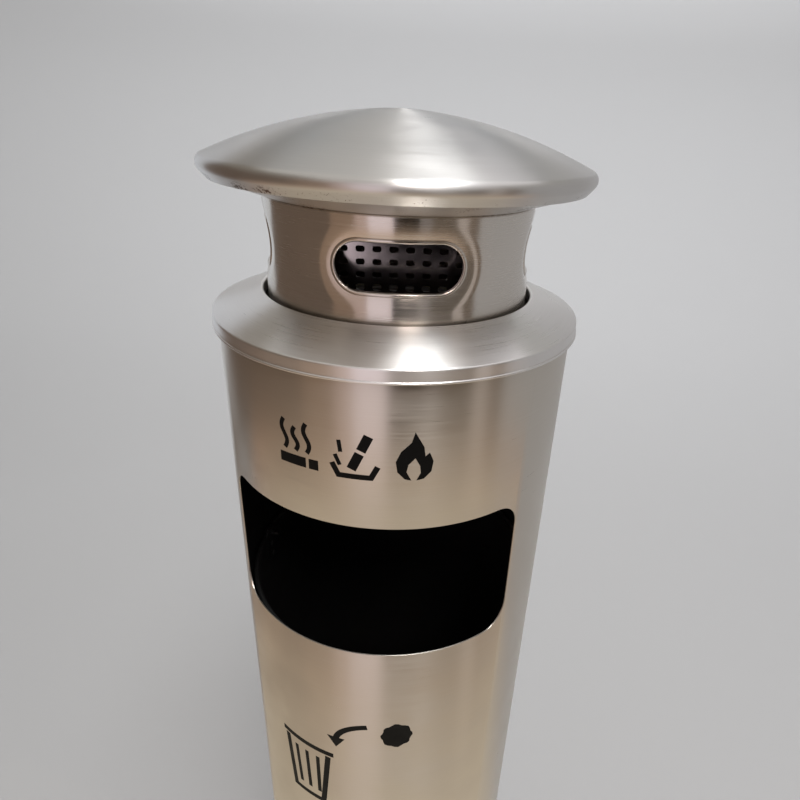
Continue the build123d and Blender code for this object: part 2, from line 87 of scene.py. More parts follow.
def aim(yaw, pitch, roll, turn):
    """Rotation of a camera that looks along +Y, turned right by yaw, down by pitch and tilted by roll."""
    forward = Vector((math.sin(yaw) * math.cos(pitch), math.cos(yaw) * math.cos(pitch), -math.sin(pitch)))
    right = Vector((math.cos(yaw), -math.sin(yaw), 0))
    level = Matrix((right, right.cross(forward), -forward)).transposed()
    return Matrix.Rotation(turn, 3, "Z") @ level @ Matrix.Rotation(roll, 3, "Z")


camera = bpy.data.objects.new("camera", bpy.data.cameras.new("camera"))
camera.data.lens = LENS
camera.data.shift_x = LENS_SHIFT
camera.location = Vector((
    CAMERA_REACH * math.sin(HEAD_TURN),
    -CAMERA_REACH * math.cos(HEAD_TURN),
    skirt_z + CAMERA_ABOVE,
))
camera.rotation_euler = aim(CAMERA_YAW, CAMERA_PITCH, CAMERA_ROLL, HEAD_TURN).to_euler()
camera.data.clip_start = 0.01
bpy.context.scene.collection.objects.link(camera)
bpy.context.scene.camera = camera
bpy.context.scene.view_settings.view_transform = "Standard"
print("camera at", [round(v, 3) for v in camera.location])

# %% [markdown]
# ## Helpers for nodes and colours
# Colours are written as sRGB hex values, as on a paint chart, and one function turns them to the linear
# light that a renderer adds up. One more function adds a node, sets its values and links its inputs.

# %% Colour and node helpers
def srgb(text):
    """A colour such as #c8c4bf as linear red, green, blue and alpha."""
    parts = [int(text[i:i + 2], 16) / 255 for i in (1, 3, 5)]
    return [p / 12.92 if p <= 0.04045 else ((p + 0.055) / 1.055) ** 2.4 for p in parts] + [1.0]


def add(tree, kind, inputs=None, **settings):
    """Add a node to a tree. Inputs are named or numbered; a socket is linked and a value is set."""
    node = tree.nodes.new(kind)
    for name, value in settings.items():
        setattr(node, name, value)
    for name, value in (inputs or {}).items():
        if isinstance(value, bpy.types.NodeSocket):
            tree.links.new(value, node.inputs[name])
        else:
            node.inputs[name].default_value = value
    return node


def new_material(name, **shader):
    """A material with one Principled shader, whose uniform values are set on its own sockets."""
    made = bpy.data.materials.new(name)
    made.use_nodes = True
    made.node_tree.nodes.clear()
    surface = add(made.node_tree, "ShaderNodeBsdfPrincipled")
    for key, value in shader.items():
        surface.inputs[key.replace("_", " ")].default_value = value
    add(made.node_tree, "ShaderNodeOutputMaterial", {"Surface": surface.outputs["BSDF"]})
    return made, made.node_tree, surface


def object_place(tree):
    return add(tree, "ShaderNodeTexCoord").outputs["Object"]


def noise(tree, vector, size, detail, roughness=0.5):
    """Noise from 0 to 1, with patches of about the given size."""
    return add(tree, "ShaderNodeTexNoise", {
        "Vector": vector, "Scale": 1 / size, "Detail": detail, "Roughness": roughness,
    }).outputs["Fac"]


def mapped(tree, value, start, end, low, high, **settings):
    """The stretch of a value from start to end, spread over low to high."""
    return add(tree, "ShaderNodeMapRange", {
        "Value": value, "From Min": start, "From Max": end, "To Min": low, "To Max": high,
    }, **settings).outputs[0]


def calc(tree, operation, first, second=0.0):
    return add(tree, "ShaderNodeMath", {0: first, 1: second}, operation=operation).outputs[0]


def mix(tree, share, first, second):
    """The first colour where share is 0, the second where it is 1, and a blend between."""
    return add(tree, "ShaderNodeMix", {0: share, 6: first, 7: second}, data_type="RGBA").outputs[2]


def bump(tree, height, strength, distance):
    return add(tree, "ShaderNodeBump", {
        "Height": height, "Strength": strength, "Distance": distance,
    }).outputs[0]


def feed(tree, surface, sources):
    """Link a shader's named inputs to the sockets that drive them."""
    for name, socket in sources.items():
        tree.links.new(socket, surface.inputs[name])


print("mid grey in linear light:", round(srgb("#808080")[0], 3))

# %% [markdown]
# ## Brushed stainless steel
# The sheet is ground with an abrasive belt while it turns, so fine hairlines run round the tube and round
# the dome. Each hairline is a tiny groove: it spreads a highlight across itself and keeps it sharp along
# itself. That is anisotropy, and the tangent round Z says which way the hairlines run.
# Real hairlines are about 0.1 mm apart. They are drawn 0.5 mm apart here, or they would not show.

# %% Brushed stainless steel
HAIRLINE = 0.5 * MM                  # spacing across the grain, drawn coarser than the real 0.1 mm
HAIRLINE_LENGTH = 60 * MM            # how far one hairline runs
SMUDGE = 45 * MM                     # size of handling marks


def grain_vector(tree, across):
    """Coordinates squeezed so that noise becomes hairlines. across is "Z" on a tube and "R" on a dome."""
    place = object_place(tree)
    axes = add(tree, "ShaderNodeSeparateXYZ", {"Vector": place}).outputs
    height = axes["Z"]
    if across == "R":
        flat = add(tree, "ShaderNodeCombineXYZ", {"X": axes["X"], "Y": axes["Y"]})
        height = add(tree, "ShaderNodeVectorMath", {0: flat.outputs[0]}, operation="LENGTH").outputs["Value"]
    fine = calc(tree, "MULTIPLY", height, HAIRLINE_LENGTH / HAIRLINE)
    squeezed = add(tree, "ShaderNodeCombineXYZ", {"X": axes["X"], "Y": axes["Y"], "Z": fine}).outputs[0]
    return squeezed, place


def brushed_steel(name, light, dark, roughness, across, spread=0.85, grain=0.5):
    """Ground stainless sheet. light and dark are the tones of the tops and bottoms of its hairlines."""
    made, tree, surface = new_material(
        name, Metallic=1.0, Anisotropic=spread, Anisotropic_Rotation=0.25,
    )
    squeezed, place = grain_vector(tree, across)
    hairlines = noise(tree, squeezed, HAIRLINE_LENGTH, 3.0, 0.65)
    smudges = noise(tree, place, SMUDGE, 2.0)
    tone = mix(tree, hairlines, srgb(dark), srgb(light))
    lines_rough = mapped(tree, hairlines, 0.3, 0.7, roughness - 0.05, roughness + 0.05)
    smudge_rough = mapped(tree, smudges, 0.35, 0.7, -0.02, 0.04)
    feed(tree, surface, {
        "Base Color": tone,
        "Roughness": calc(tree, "ADD", lines_rough, smudge_rough),
        "Normal": bump(tree, hairlines, grain, 0.03 * MM),
        "Tangent": add(tree, "ShaderNodeTangent", direction_type="RADIAL", axis="Z").outputs[0],
    })
    return made, tree, surface, tone


def ground_seam(made):
    """The tube's weld, at the back, ground flush: a narrow strip of darker tone whose sides fade out."""
    material, tree, surface, tone = made
    axes = add(tree, "ShaderNodeSeparateXYZ", {"Vector": object_place(tree)}).outputs
    off = calc(tree, "ABSOLUTE", axes["X"])
    near = mapped(tree, off, 0.9 * MM, 1.6 * MM, 1.0, 0.0, interpolation_type="SMOOTHSTEP")
    behind = calc(tree, "GREATER_THAN", axes["Y"], 0.0)
    seam = calc(tree, "MULTIPLY", near, behind)
    feed(tree, surface, {"Base Color": mix(tree, seam, tone, srgb("#a39b91"))})
    return material


TUBE_STEEL = ground_seam(brushed_steel(
    "hairline_stainless_tube", "#cdc6bc", "#bfb6aa", 0.34, "Z", grain=0.2,
))
NECK_STEEL = brushed_steel(
    "hairline_stainless_neck", "#cfc8bf", "#c8c0b6", 0.23, "Z", spread=0.95, grain=0.03,
)[0]
print("hairlines", HAIRLINE / MM, "mm apart and about", HAIRLINE_LENGTH / MM, "mm long")

# %% [markdown]
# ## Spun steel with a worn lip
# The dome and the collar are spun on a lathe, so their hairlines are rings round the axis. The curled lip
# of the dome is knocked when the head is lifted off: it has small brown specks and dull scuffs there.

# %% Spun stainless steel
SPECK = 1.6 * MM                     # size of one scuff
SCUFF_HEIGHT = 5.0 * MM              # how far up the lip the scuffs reach
SCUFF_PATCH = 30 * MM                # size of the places where specks gather


def scuffed_lip(made):
    """Add dull brown specks along the lip, gathered in random patches."""
    material, tree, surface, tone = made
    place = object_place(tree)
    height = add(tree, "ShaderNodeSeparateXYZ", {"Vector": place}).outputs["Z"]
    low = mapped(tree, height, cap_edge_z + SCUFF_HEIGHT * 0.4, cap_edge_z + SCUFF_HEIGHT, 1.0, 0.0)
    specks = noise(tree, place, SPECK, 2.0, 0.7)
    patches = noise(tree, place, SCUFF_PATCH, 1.0)
    marks = mapped(tree, calc(tree, "ADD", specks, patches), 1.17, 1.24, 0.0, 1.0)
    where = calc(tree, "MULTIPLY", low, marks)
    feed(tree, surface, {"Base Color": mix(tree, where, tone, srgb("#5d4a3c"))})
    return material


DOME_STEEL = scuffed_lip(brushed_steel("spun_stainless_dome", "#cdc9c5", "#bab5af", 0.34, "R"))
COLLAR_STEEL = brushed_steel("spun_stainless_collar", "#e2deda", "#cfcac5", 0.32, "R")[0]
print("specks", SPECK / MM, "mm wide reach", SCUFF_HEIGHT / MM, "mm up the lip")

# %% [markdown]
# ## Other metals
# The screen and the ash pan are bare sheet with a milled, less directional face. The base plate and the
# locating ring are galvanised: their zinc froze into spangles, flat crystals that each tilt the light a
# little.
# Screws and nuts are bright zinc plated, and the handle is drawn wire.

# %% Screen, pan, galvanised parts and fasteners
SPANGLE = 9 * MM                     # width of one zinc crystal


def plain_metal(name, light, dark, roughness, patch, groove=0.15):
    """Metal with a soft cloudiness. patch is the size of its clouds."""
    made, tree, surface = new_material(name, Metallic=1.0)
    clouds = noise(tree, object_place(tree), patch, 5.0)
    feed(tree, surface, {
        "Base Color": mix(tree, clouds, srgb(dark), srgb(light)),
        "Roughness": mapped(tree, clouds, 0.3, 0.7, roughness - 0.08, roughness + 0.08),
        "Normal": bump(tree, clouds, groove, 0.1 * MM),
    })
    return made


def galvanised(name):
    """Zinc spangles: each cell of a Voronoi pattern has its own tone, roughness and relief."""
    made, tree, surface = new_material(name, Metallic=1.0)
    place = object_place(tree)
    crystals = add(tree, "ShaderNodeTexVoronoi", {"Vector": place, "Scale": 1 / SPANGLE}).outputs
    cell = add(tree, "ShaderNodeSeparateColor", {0: crystals["Color"]}).outputs
    feed(tree, surface, {
        "Base Color": mix(tree, cell[0], srgb("#8f9598"), srgb("#c3c8ca")),
        "Roughness": mapped(tree, cell[1], 0.0, 1.0, 0.38, 0.6),
        "Normal": bump(tree, crystals["Distance"], 0.2, 0.2 * MM),
    })
    return made


SCREEN_STEEL = plain_metal("punched_stainless_screen", "#d8d0cd", "#bdb3b0", 0.14, 25 * MM, groove=0.05)
PAN_STEEL = plain_metal("pressed_stainless_pan", "#b9b4af", "#8d8781", 0.36, 18 * MM)
# Painted shade: the neck's inside is darkened steel, because little light comes in through the slots.
SHADED_INSIDE_STEEL = plain_metal("stainless_inside_painted_shade", "#6b6058", "#3a332e", 0.5, 12 * MM)
GALVANISED = galvanised("galvanised_sheet")
ZINC = plain_metal("bright_zinc_plate", "#c9ccd0", "#9fa4aa", 0.3, 3 * MM)
WIRE = plain_metal("drawn_wire", "#a9a8a6", "#7b7976", 0.34, 6 * MM)
print("spangles", SPANGLE / MM, "mm wide")

# %% [markdown]
# ## Black painted shade and soft parts
# The bucket, its rivets and the inside of the tube are near-black, as painted shade of the dark inside of
# the opening, with a fine orange peel, half matt. The foot ring is moulded polypropylene, the pads are
# rubber and the seat ring is natural nylon. The black coat and the plastics are not metal, so they keep
# their colour in the base and a pale, weak gloss on top.

# %% Black painted shade, plastic, rubber, nylon and ink
def moulded(name, colour, worn, roughness, texture, relief, gloss=0.5):
    """A non-metal with a fine skin. texture is the size of its bumps, and relief is their height."""
    made, tree, surface = new_material(name, Metallic=0.0, IOR=1.5, Specular_IOR_Level=gloss)
    place = object_place(tree)
    skin = noise(tree, place, texture, 3.0)
    patches = noise(tree, place, 25 * texture, 4.0)
    feed(tree, surface, {
        "Base Color": mix(tree, patches, srgb(colour), srgb(worn)),
        "Roughness": mapped(tree, patches, 0.3, 0.7, roughness - 0.06, roughness + 0.06),
        "Normal": bump(tree, skin, 0.4, relief),
    })
    return made


# Painted shade: near-black for the inside of the tube and for the bucket, where the opening shows dark.
SHADE_BLACK_COAT = moulded("black_coat_painted_shade", "#050505", "#0a0a0a", 0.75, 0.9 * MM, 0.05 * MM)
FOOT_PLASTIC = moulded("black_polypropylene", "#121212", "#1c1c1b", 0.5, 1.2 * MM, 0.08 * MM)
RUBBER = moulded("black_rubber", "#0e0e0e", "#191918", 0.8, 0.7 * MM, 0.1 * MM)
NYLON = moulded("natural_nylon", "#dcd6c6", "#cfc7b3", 0.45, 0.8 * MM, 0.04 * MM)
INK = moulded("screen_printed_ink", "#030303", "#080707", 0.62, 0.6 * MM, 0.01 * MM, gloss=0.12)
print("materials so far:", len(bpy.data.materials))

# %% [markdown]
# ## A lathe in Geometry Nodes
# A spinner presses flat sheet over a turning form, so a spun piece is one outline carried round the axis.
# The tree does the same: it sweeps the outline round a circle, welds the seam and the middle, and ends as
# plain mesh. The circle has a radius of one metre, so an outline point stands at its radius less one.

# %% Lathe tree
WELD = 0.001 * MM                    # points nearer than this become one


def geo(tree, kind, inputs=None, **settings):
    """Add a node of Geometry Nodes and give its first output."""
    return add(tree, "GeometryNode" + kind, inputs, **settings).outputs[0]


def joined(tree, *parts):
    node = add(tree, "GeometryNodeJoinGeometry")
    for part in parts:
        tree.links.new(part, node.inputs[0])
    return node.outputs[0]


def lathe_tree():
    """Geometry Nodes tree that turns an outline round Z."""
    tree = bpy.data.node_groups.new("spun_sheet", "GeometryNodeTree")
    tree.interface.new_socket("Outline", in_out="INPUT", socket_type="NodeSocketGeometry")
    tree.interface.new_socket("Steps", in_out="INPUT", socket_type="NodeSocketInt")
    tree.interface.new_socket("Finish", in_out="INPUT", socket_type="NodeSocketMaterial")
    tree.interface.new_socket("Sheet", in_out="OUTPUT", socket_type="NodeSocketGeometry")
    given = add(tree, "NodeGroupInput").outputs
    line = geo(tree, "MeshToCurve", {"Mesh": given["Outline"]})
    path = geo(tree, "CurvePrimitiveCircle", {"Resolution": given["Steps"], "Radius": 1.0})
    swept = geo(tree, "CurveToMesh", {"Curve": path, "Profile Curve": line})
    welded = geo(tree, "MergeByDistance", {"Geometry": swept, "Distance": WELD})
    real = geo(tree, "RealizeInstances", {"Geometry": welded})
    done = geo(tree, "SetMaterial", {"Geometry": real, "Material": given["Finish"]})
    add(tree, "NodeGroupOutput", {"Sheet": done})
    return tree


LATHE = lathe_tree()
print("lathe tree:", len(LATHE.nodes), "nodes")

# %% [markdown]
# ## Turning a modifier's result into a plain piece
# A modifier's input is set by its identifier before the object is first evaluated. The evaluated result
# then becomes the object's own mesh. Its normals are made to point outwards, and faces that meet at less
# than 30 degrees are smoothed together, so a bend shades round while a cut edge stays crisp.

# %% Helpers for meshes
SMOOTH_BELOW = math.radians(30)


def new_object(name, verts, edges, faces):
    """An object at the origin whose place is in its mesh."""
    mesh = bpy.data.meshes.new(name)
    mesh.from_pydata(verts, edges, faces)
    made = bpy.data.objects.new(name, mesh)
    bpy.context.scene.collection.objects.link(made)
    return made


def run_tree(piece, tree, **values):
    """Give a piece a Geometry Nodes modifier and set its named inputs."""
    modifier = piece.modifiers.new(tree.name, "NODES")
    modifier.node_group = tree
    for item in tree.interface.items_tree:
        if item.in_out == "INPUT" and item.name in values:
            modifier[item.identifier] = values[item.name]


def make_plain(piece):
    """Replace a piece's mesh by what its modifiers make of it, and take them off."""
    bpy.context.view_layer.update()
    evaluated = piece.evaluated_get(bpy.context.evaluated_depsgraph_get())
    plain = bpy.data.meshes.new_from_object(evaluated)
    piece.modifiers.clear()
    piece.data = plain
    plain.name = piece.name


def face_outwards(piece):
    """Weld doubled points and turn every face outwards; on an open sheet, away from the axis."""
    work = bmesh.new()
    work.from_mesh(piece.data)
    bmesh.ops.remove_doubles(work, verts=work.verts, dist=WELD)
    bmesh.ops.recalc_face_normals(work, faces=work.faces)
    open_sheet = any(edge.is_boundary for edge in work.edges)
    outward = sum(
        face.normal.dot(Vector((*face.calc_center_median().xy, 0))) * face.calc_area() for face in work.faces
    )
    if open_sheet and outward < 0:
        bmesh.ops.reverse_faces(work, faces=work.faces)
    work.to_mesh(piece.data)
    work.free()


def finish_shading(piece):
    piece.data.shade_smooth()
    piece.data.set_sharp_from_angle(angle=SMOOTH_BELOW)


def thicken(piece, thickness, inside=0):
    """Give a sheet its thickness, inwards. inside is how many slots further its inner finish is."""
    sheet = piece.modifiers.new("sheet", "SOLIDIFY")
    sheet.thickness = thickness
    sheet.offset = -1
    sheet.material_offset = inside
    sheet.material_offset_rim = 0


def place(piece, body, slot, *replaced):
    """Join a finished piece to its CAD body and hide the CAD nodes it stands for. slot, the name of its
    finish, is not used.
    """
    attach(piece, body)
    if replaced:
        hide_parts(*replaced)
    triangles = sum(len(face.vertices) - 2 for face in piece.data.polygons)
    print(piece.name, "rides on", body, "with", triangles, "triangles")


def turned(name, outline, finish, closed, steps=360):
    """A piece of revolution from a (radius, height) outline in metres."""
    verts = [(r - 1, -z, 0) for r, z in outline]
    edges = [(i, i + 1) for i in range(len(verts) - 1)]
    if closed:
        edges.append((len(verts) - 1, 0))
    piece = new_object(name, verts, edges, [])
    run_tree(piece, LATHE, Steps=steps, Finish=finish)
    make_plain(piece)
    face_outwards(piece)
    finish_shading(piece)
    return piece


print("helpers ready; edges sharper than", round(math.degrees(SMOOTH_BELOW)), "degrees stay crisp")

# %% [markdown]
# ## Domed cap
# The dome is one spun sheet: a slightly pointed crown, a long even arc, and a lip curled under so that
# nobody cuts a hand. All its arcs meet without a kink, or the highlight would break there. The lip's cut
# edge returns inwards and grips the plate below.

# %% Domed cap
CROWN_RADIUS = 200 * MM
CROWN_REACH = 20 * MM
LIP_RADIUS = 5.5 * MM
LIP_RISE = 8.0 * MM                  # from the cut edge to the widest place
LIP_SETBACK = 5.0 * MM               # the cut edge inside the widest place
CAP_SHEET = 1.2 * MM
ARC_STEP = math.radians(1.2)


def unit(angle):
    return Vector((math.cos(angle), math.sin(angle)))


def arc(centre, radius, start, end, step=ARC_STEP):
    """Points of an arc in the (radius, height) plane."""
    count = max(2, math.ceil(abs(end - start) / step))
    return [centre + unit(start + (end - start) * i / count) * radius for i in range(count + 1)]


def dome_line(inset):
    """Outer line of the dome, moved inwards by a distance."""
    crown = Vector((0, top_z - CROWN_RADIUS))
    join_angle = math.acos(CROWN_REACH / CROWN_RADIUS)
    join = crown + unit(join_angle) * CROWN_RADIUS
    lip = Vector((cap_r - LIP_RADIUS, cap_edge_z + LIP_RISE))
    edge = Vector((cap_r - LIP_SETBACK, cap_edge_z))
    to_edge = edge - lip
    end = math.atan2(to_edge.y, to_edge.x) + math.acos(LIP_RADIUS / to_edge.length)
    span = lip - join
    along = span.dot(unit(join_angle)) + LIP_RADIUS
    main_radius = (LIP_RADIUS ** 2 - span.length ** 2) / (2 * along)
    main = join - unit(join_angle) * main_radius
    slope = lip - main
    lip_angle = math.atan2(slope.y, slope.x)
    line = arc(crown, CROWN_RADIUS - inset, math.radians(90), join_angle, ARC_STEP / 4)
    line += arc(main, main_radius - inset, join_angle, lip_angle, ARC_STEP / 3)[1:]
    line += arc(lip, LIP_RADIUS - inset, lip_angle, end, ARC_STEP * 4)[1:]
    return line + [edge - unit(end) * inset]


dome_outline = dome_line(0) + dome_line(CAP_SHEET)[::-1]
dome = turned("domed_cap", dome_outline, DOME_STEEL, closed=False, steps=480)
place(dome, "head", "stainless_spun", "cap_dome")

# %% [markdown]
# ## Collar
# The collar is spun too: a short skirt with a rolled bead, a shallow cone, and a lip turned down into the
# neck hole. Each bend is a small arc. The metal lies on the left of the line, so its second face is the
# same line moved left by the sheet.

# %% Collar
SKIRT_R = 128.3 * MM
SKIRT_TOP = skirt_z + 9.1 * MM
HOLE_R = 94.0 * MM
COLLAR_TOP = SKIRT_TOP + 14.0 * MM
NECK_LIP = 9.0 * MM
COLLAR_BEND = 1.6 * MM
BEAD_RADIUS = 0.9 * MM


def left_of(points, distance):
    """An open line moved to its left-hand side."""
    headings = [(b - a).normalized() for a, b in zip(points, points[1:])]
    moved = []
    for i, point in enumerate(points):
        before = headings[max(i - 1, 0)]
        after = headings[min(i, len(headings) - 1)]
        normal = (before + after).orthogonal()
        moved.append(point + normal * (2 * distance / normal.length_squared))
    return moved


def bent(points, bends):
    """A line of corners with an arc of the given radius at each inner corner."""
    line = [points[0]]
    for before, corner, after, radius in zip(points, points[1:], points[2:], bends):
        back = (before - corner).normalized()
        ahead = (after - corner).normalized()
        half = back.angle(ahead) / 2
        centre = corner + (back + ahead).normalized() * (radius / math.sin(half))
        first = corner + back * (radius / math.tan(half)) - centre
        last = corner + ahead * (radius / math.tan(half)) - centre
        turn = math.atan2(first.cross(last), first.dot(last))
        start = math.atan2(first.y, first.x)
        line += arc(centre, radius, start, start + turn, math.radians(9))
    return line + [points[-1]]


collar_corners = [
    Vector((SKIRT_R, skirt_z)),
    Vector((SKIRT_R, SKIRT_TOP)),
    Vector((HOLE_R, COLLAR_TOP)),
    Vector((HOLE_R, COLLAR_TOP - NECK_LIP)),
]
bead = Vector((SKIRT_R - SHEET / 2 + BEAD_RADIUS / 2, skirt_z + BEAD_RADIUS))
collar_corners[0].y = bead.y + BEAD_RADIUS
outside = bent(collar_corners, [COLLAR_BEND, COLLAR_BEND])
inside = bent(left_of(collar_corners, SHEET), [COLLAR_BEND - SHEET, COLLAR_BEND - SHEET])
bead_line = arc(bead, BEAD_RADIUS, math.radians(-180), math.radians(88), math.radians(15))
collar = turned("spun_collar", outside + inside[::-1] + bead_line, COLLAR_STEEL, closed=True)
place(collar, "collar", "stainless_spun", "collar_cover")

# %% [markdown]
# ## Tube with the disposal opening
# The tube is rolled from flat sheet, so it is easiest to lay it out flat: columns round the tube, and in
# each column the heights where the opening starts and ends. Corners are quarter rounds. The columns are
# then wrapped round the axis and Solidify gives the sheet its thickness, with a near-black inside that is
# painted shade of the dark opening.

# %% Tube
OPENING_HALF_ANGLE = math.radians(53.6)
OPENING_TOP = skirt_z - 100.5 * MM
OPENING_LOW = OPENING_TOP - 111.2 * MM
OPENING_CORNER = 20.0 * MM
CORNER_STEPS = 14
COLUMN_STEP = math.radians(1)
CUT_EDGE = 0.18 * MM                 # how much the cut edges are broken


def even(start, end):
    """Angles from start to end, about one column apart."""
    count = math.ceil((end - start) / COLUMN_STEP)
    return [start + (end - start) * i / count for i in range(count + 1)]


def tube_columns():
    """Azimuth of each column and how far the opening's corner closes it there, from the front round."""
    reach = OPENING_CORNER / body_r
    straight = OPENING_HALF_ANGLE - reach
    corner = []
    for i in range(1, CORNER_STEPS):
        part = math.pi / 2 * i / CORNER_STEPS
        corner.append((straight + reach * math.sin(part), OPENING_CORNER * (1 - math.cos(part))))
    front = [(a, 0.0) for a in even(-straight, straight)]
    back = [(a, None) for a in even(OPENING_HALF_ANGLE, 2 * math.pi - OPENING_HALF_ANGLE)]
    return front + corner + back + [(-a, inset) for a, inset in reversed(corner)]


def on_tube(azimuth, height, radius=body_r):
    return (radius * math.sin(azimuth), -radius * math.cos(azimuth), height)


columns = tube_columns()
verts = []
for azimuth, inset in columns:
    gap = OPENING_CORNER if inset is None else inset
    for height in (body_low.z, OPENING_LOW + gap, OPENING_TOP - gap, body_high.z):
        verts.append(on_tube(azimuth, height))
faces = []
for i, (_, inset) in enumerate(columns):
    after = (i + 1) % len(columns)
    both_closed = inset is None and columns[after][1] is None
    for row in (0, 1, 2) if both_closed else (0, 2):
        faces.append((4 * i + row, 4 * after + row, 4 * after + row + 1, 4 * i + row + 1))
tube = new_object("tube", verts, [], faces)
face_outwards(tube)
tube.data.materials.append(TUBE_STEEL)
# The tube's inner face gets the near-black painted shade.
tube.data.materials.append(SHADE_BLACK_COAT)
thicken(tube, SHEET, inside=1)
broken = tube.modifiers.new("cut_edges", "BEVEL")
broken.width = CUT_EDGE
broken.segments = 2
broken.limit_method = "ANGLE"
broken.angle_limit = SMOOTH_BELOW
broken.harden_normals = False
make_plain(tube)
finish_shading(tube)
place(tube, "shell", "stainless_tube", "body_shell")

# %% [markdown]
# ## Neck with four pressed slots
# The neck is a rolled band. Each slot is punched, and a press then draws its edge inwards: the sheet dips
# round the slot and turns over a round bead into a short lip. The band is drawn one quarter at a
# time. Rays leave the slot's outline at right angles and end on the quarter's edge, and a point's
# distance along its ray says how deep the press has drawn it.

# %% Sizes of the neck
NECK_FLANGE = 13.0 * MM
NECK_BEND = 1.6 * MM
SLOT_LENGTH = 74.0 * MM
SLOT_HEIGHT = 28.0 * MM
SLOT_RISE = 30.7 * MM                # from the collar's top to the slots' centre line
LIP_DEPTH = 3.6 * MM                 # the lip's inner edge behind the neck's face
BEAD = 1.35 * MM                     # radius of the rounded edge round each slot
BEAD_SET = 1.0 * MM                  # its crown behind the neck's face
DRAW_REACH = 10.0 * MM               # how far from the bead the sheet is drawn in
SIDES = 4
ROUND_STEPS = 14                     # rays in each stretch of a slot's round end
STRAIGHT_STEPS = 30                  # rays along a slot's straight side
BEAD_STEP = 15                       # degrees between points of the bead's arc
BEAD_POINTS = 11
DRAW_STEPS = 10                      # points across the drawn-in sheet
FLAT_STEPS = 4                       # points from there to the quarter's edge
BEND_STEPS = 6                       # points round the bend at the band's top
NEARLY_ZERO = 1e-6                   # a ray that leans less than this never meets that edge

slot_z = COLLAR_TOP + SLOT_RISE
half_quarter = neck_r * math.sin(math.radians(45))
band_top = neck_top_z - NECK_BEND
end_x = (SLOT_LENGTH - SLOT_HEIGHT) / 2
end_r = SLOT_HEIGHT / 2
print("slots' centre line at", round(slot_z / MM, 1), "mm")

# %% Rays round one slot
def slot_rays():
    """Start, direction and length of each ray, round the slot from the lower right."""
    to_top = math.atan2(band_top - slot_z, half_quarter - end_x)
    to_low = math.atan2(neck_z - slot_z, half_quarter - end_x)
    marks = (-math.pi / 2, to_low, to_top, math.pi / 2)
    angles = []
    for start, end in zip(marks, marks[1:]):
        angles += [start + (end - start) * i / ROUND_STEPS for i in range(ROUND_STEPS)]
    angles.append(math.pi / 2)
    right = []
    for angle in angles:
        heading = unit(angle)
        start = Vector((end_x, 0)) + heading * end_r
        across = (half_quarter - end_x) / heading.x if heading.x > NEARLY_ZERO else math.inf
        edge_z = band_top if heading.y > 0 else neck_z
        up = (edge_z - slot_z) / heading.y if abs(heading.y) > NEARLY_ZERO else math.inf
        right.append((start, heading, min(across, up) - end_r))
    rays = list(right)
    for i in range(1, STRAIGHT_STEPS):
        x = end_x - 2 * end_x * i / STRAIGHT_STEPS
        rays.append((Vector((x, end_r)), Vector((0, 1)), band_top - slot_z - end_r))
    rays += [(Vector((-s.x, s.y)), Vector((-h.x, h.y)), reach) for s, h, reach in reversed(right)]
    for i in range(1, STRAIGHT_STEPS):
        x = -end_x + 2 * end_x * i / STRAIGHT_STEPS
        rays.append((Vector((x, -end_r)), Vector((0, -1)), slot_z - neck_z - end_r))
    return rays


def ray_profile(reach):
    """Distances from the slot's edge and depths, from the lip's inner edge out to the quarter's edge."""
    points = [(0.0, LIP_DEPTH)]
    for i in range(BEAD_POINTS):
        turn = math.radians(BEAD_STEP * i)
        points.append((BEAD * (1 - math.cos(turn)), BEAD_SET + BEAD * (1 - math.sin(turn))))
    crease, crease_depth = points[-1]
    for i in range(1, DRAW_STEPS + 1):
        share = i / DRAW_STEPS
        points.append((crease + DRAW_REACH * share, crease_depth * (1 - share) ** 2))
    flat = crease + DRAW_REACH
    points += [(flat + (reach - flat) * i / FLAT_STEPS, 0.0) for i in range(1, FLAT_STEPS + 1)]
    return points


def on_neck(x, height, depth):
    """A point of the front quarter, pressed straight back by depth."""
    return Vector((x, depth - math.sqrt(neck_r ** 2 - x ** 2), height))


rays = slot_rays()
print("rays round each slot:", len(rays))

# %% Build the band, fold its top and give it thickness
def neck_mesh():
    verts = []
    faces = []
    for side in range(SIDES):
        turn = Matrix.Rotation(HEAD_TURN + math.pi / 2 * side, 3, "Z")
        base = len(verts)
        rings = len(ray_profile(1.0))
        for start, heading, reach in rays:
            for distance, depth in ray_profile(reach):
                spot = start + heading * distance
                verts.append(turn @ on_neck(spot.x, slot_z + spot.y, depth))
        for i in range(len(rays)):
            here = base + i * rings
            there = base + (i + 1) % len(rays) * rings
            faces += [(here + k, here + k + 1, there + k + 1, there + k) for k in range(rings - 1)]
    return verts, faces


def fold_top(piece):
    """Carry the band's upper edge round a bend and in to the flange's edge."""
    work = bmesh.new()
    work.from_mesh(piece.data)
    bmesh.ops.remove_doubles(work, verts=work.verts, dist=WELD)
    rim = [
        edge for edge in work.edges
        if edge.is_boundary and all(abs(v.co.z - band_top) < WELD for v in edge.verts)
    ]
    turns = [math.pi / 2 * i / BEND_STEPS for i in range(1, BEND_STEPS + 1)]
    steps = [
        (neck_r - NECK_BEND + NECK_BEND * math.cos(a), band_top + NECK_BEND * math.sin(a)) for a in turns
    ]
    steps.append((neck_r - SHEET - NECK_FLANGE, neck_top_z))
    for radius, height in steps:
        made = bmesh.ops.extrude_edge_only(work, edges=rim)["geom"]
        rim = [item for item in made if isinstance(item, bmesh.types.BMEdge)]
        for vert in {v for edge in rim for v in edge.verts}:
            flat = Vector((vert.co.x, vert.co.y)).normalized() * radius
            vert.co = (flat.x, flat.y, height)
    work.to_mesh(piece.data)
    work.free()


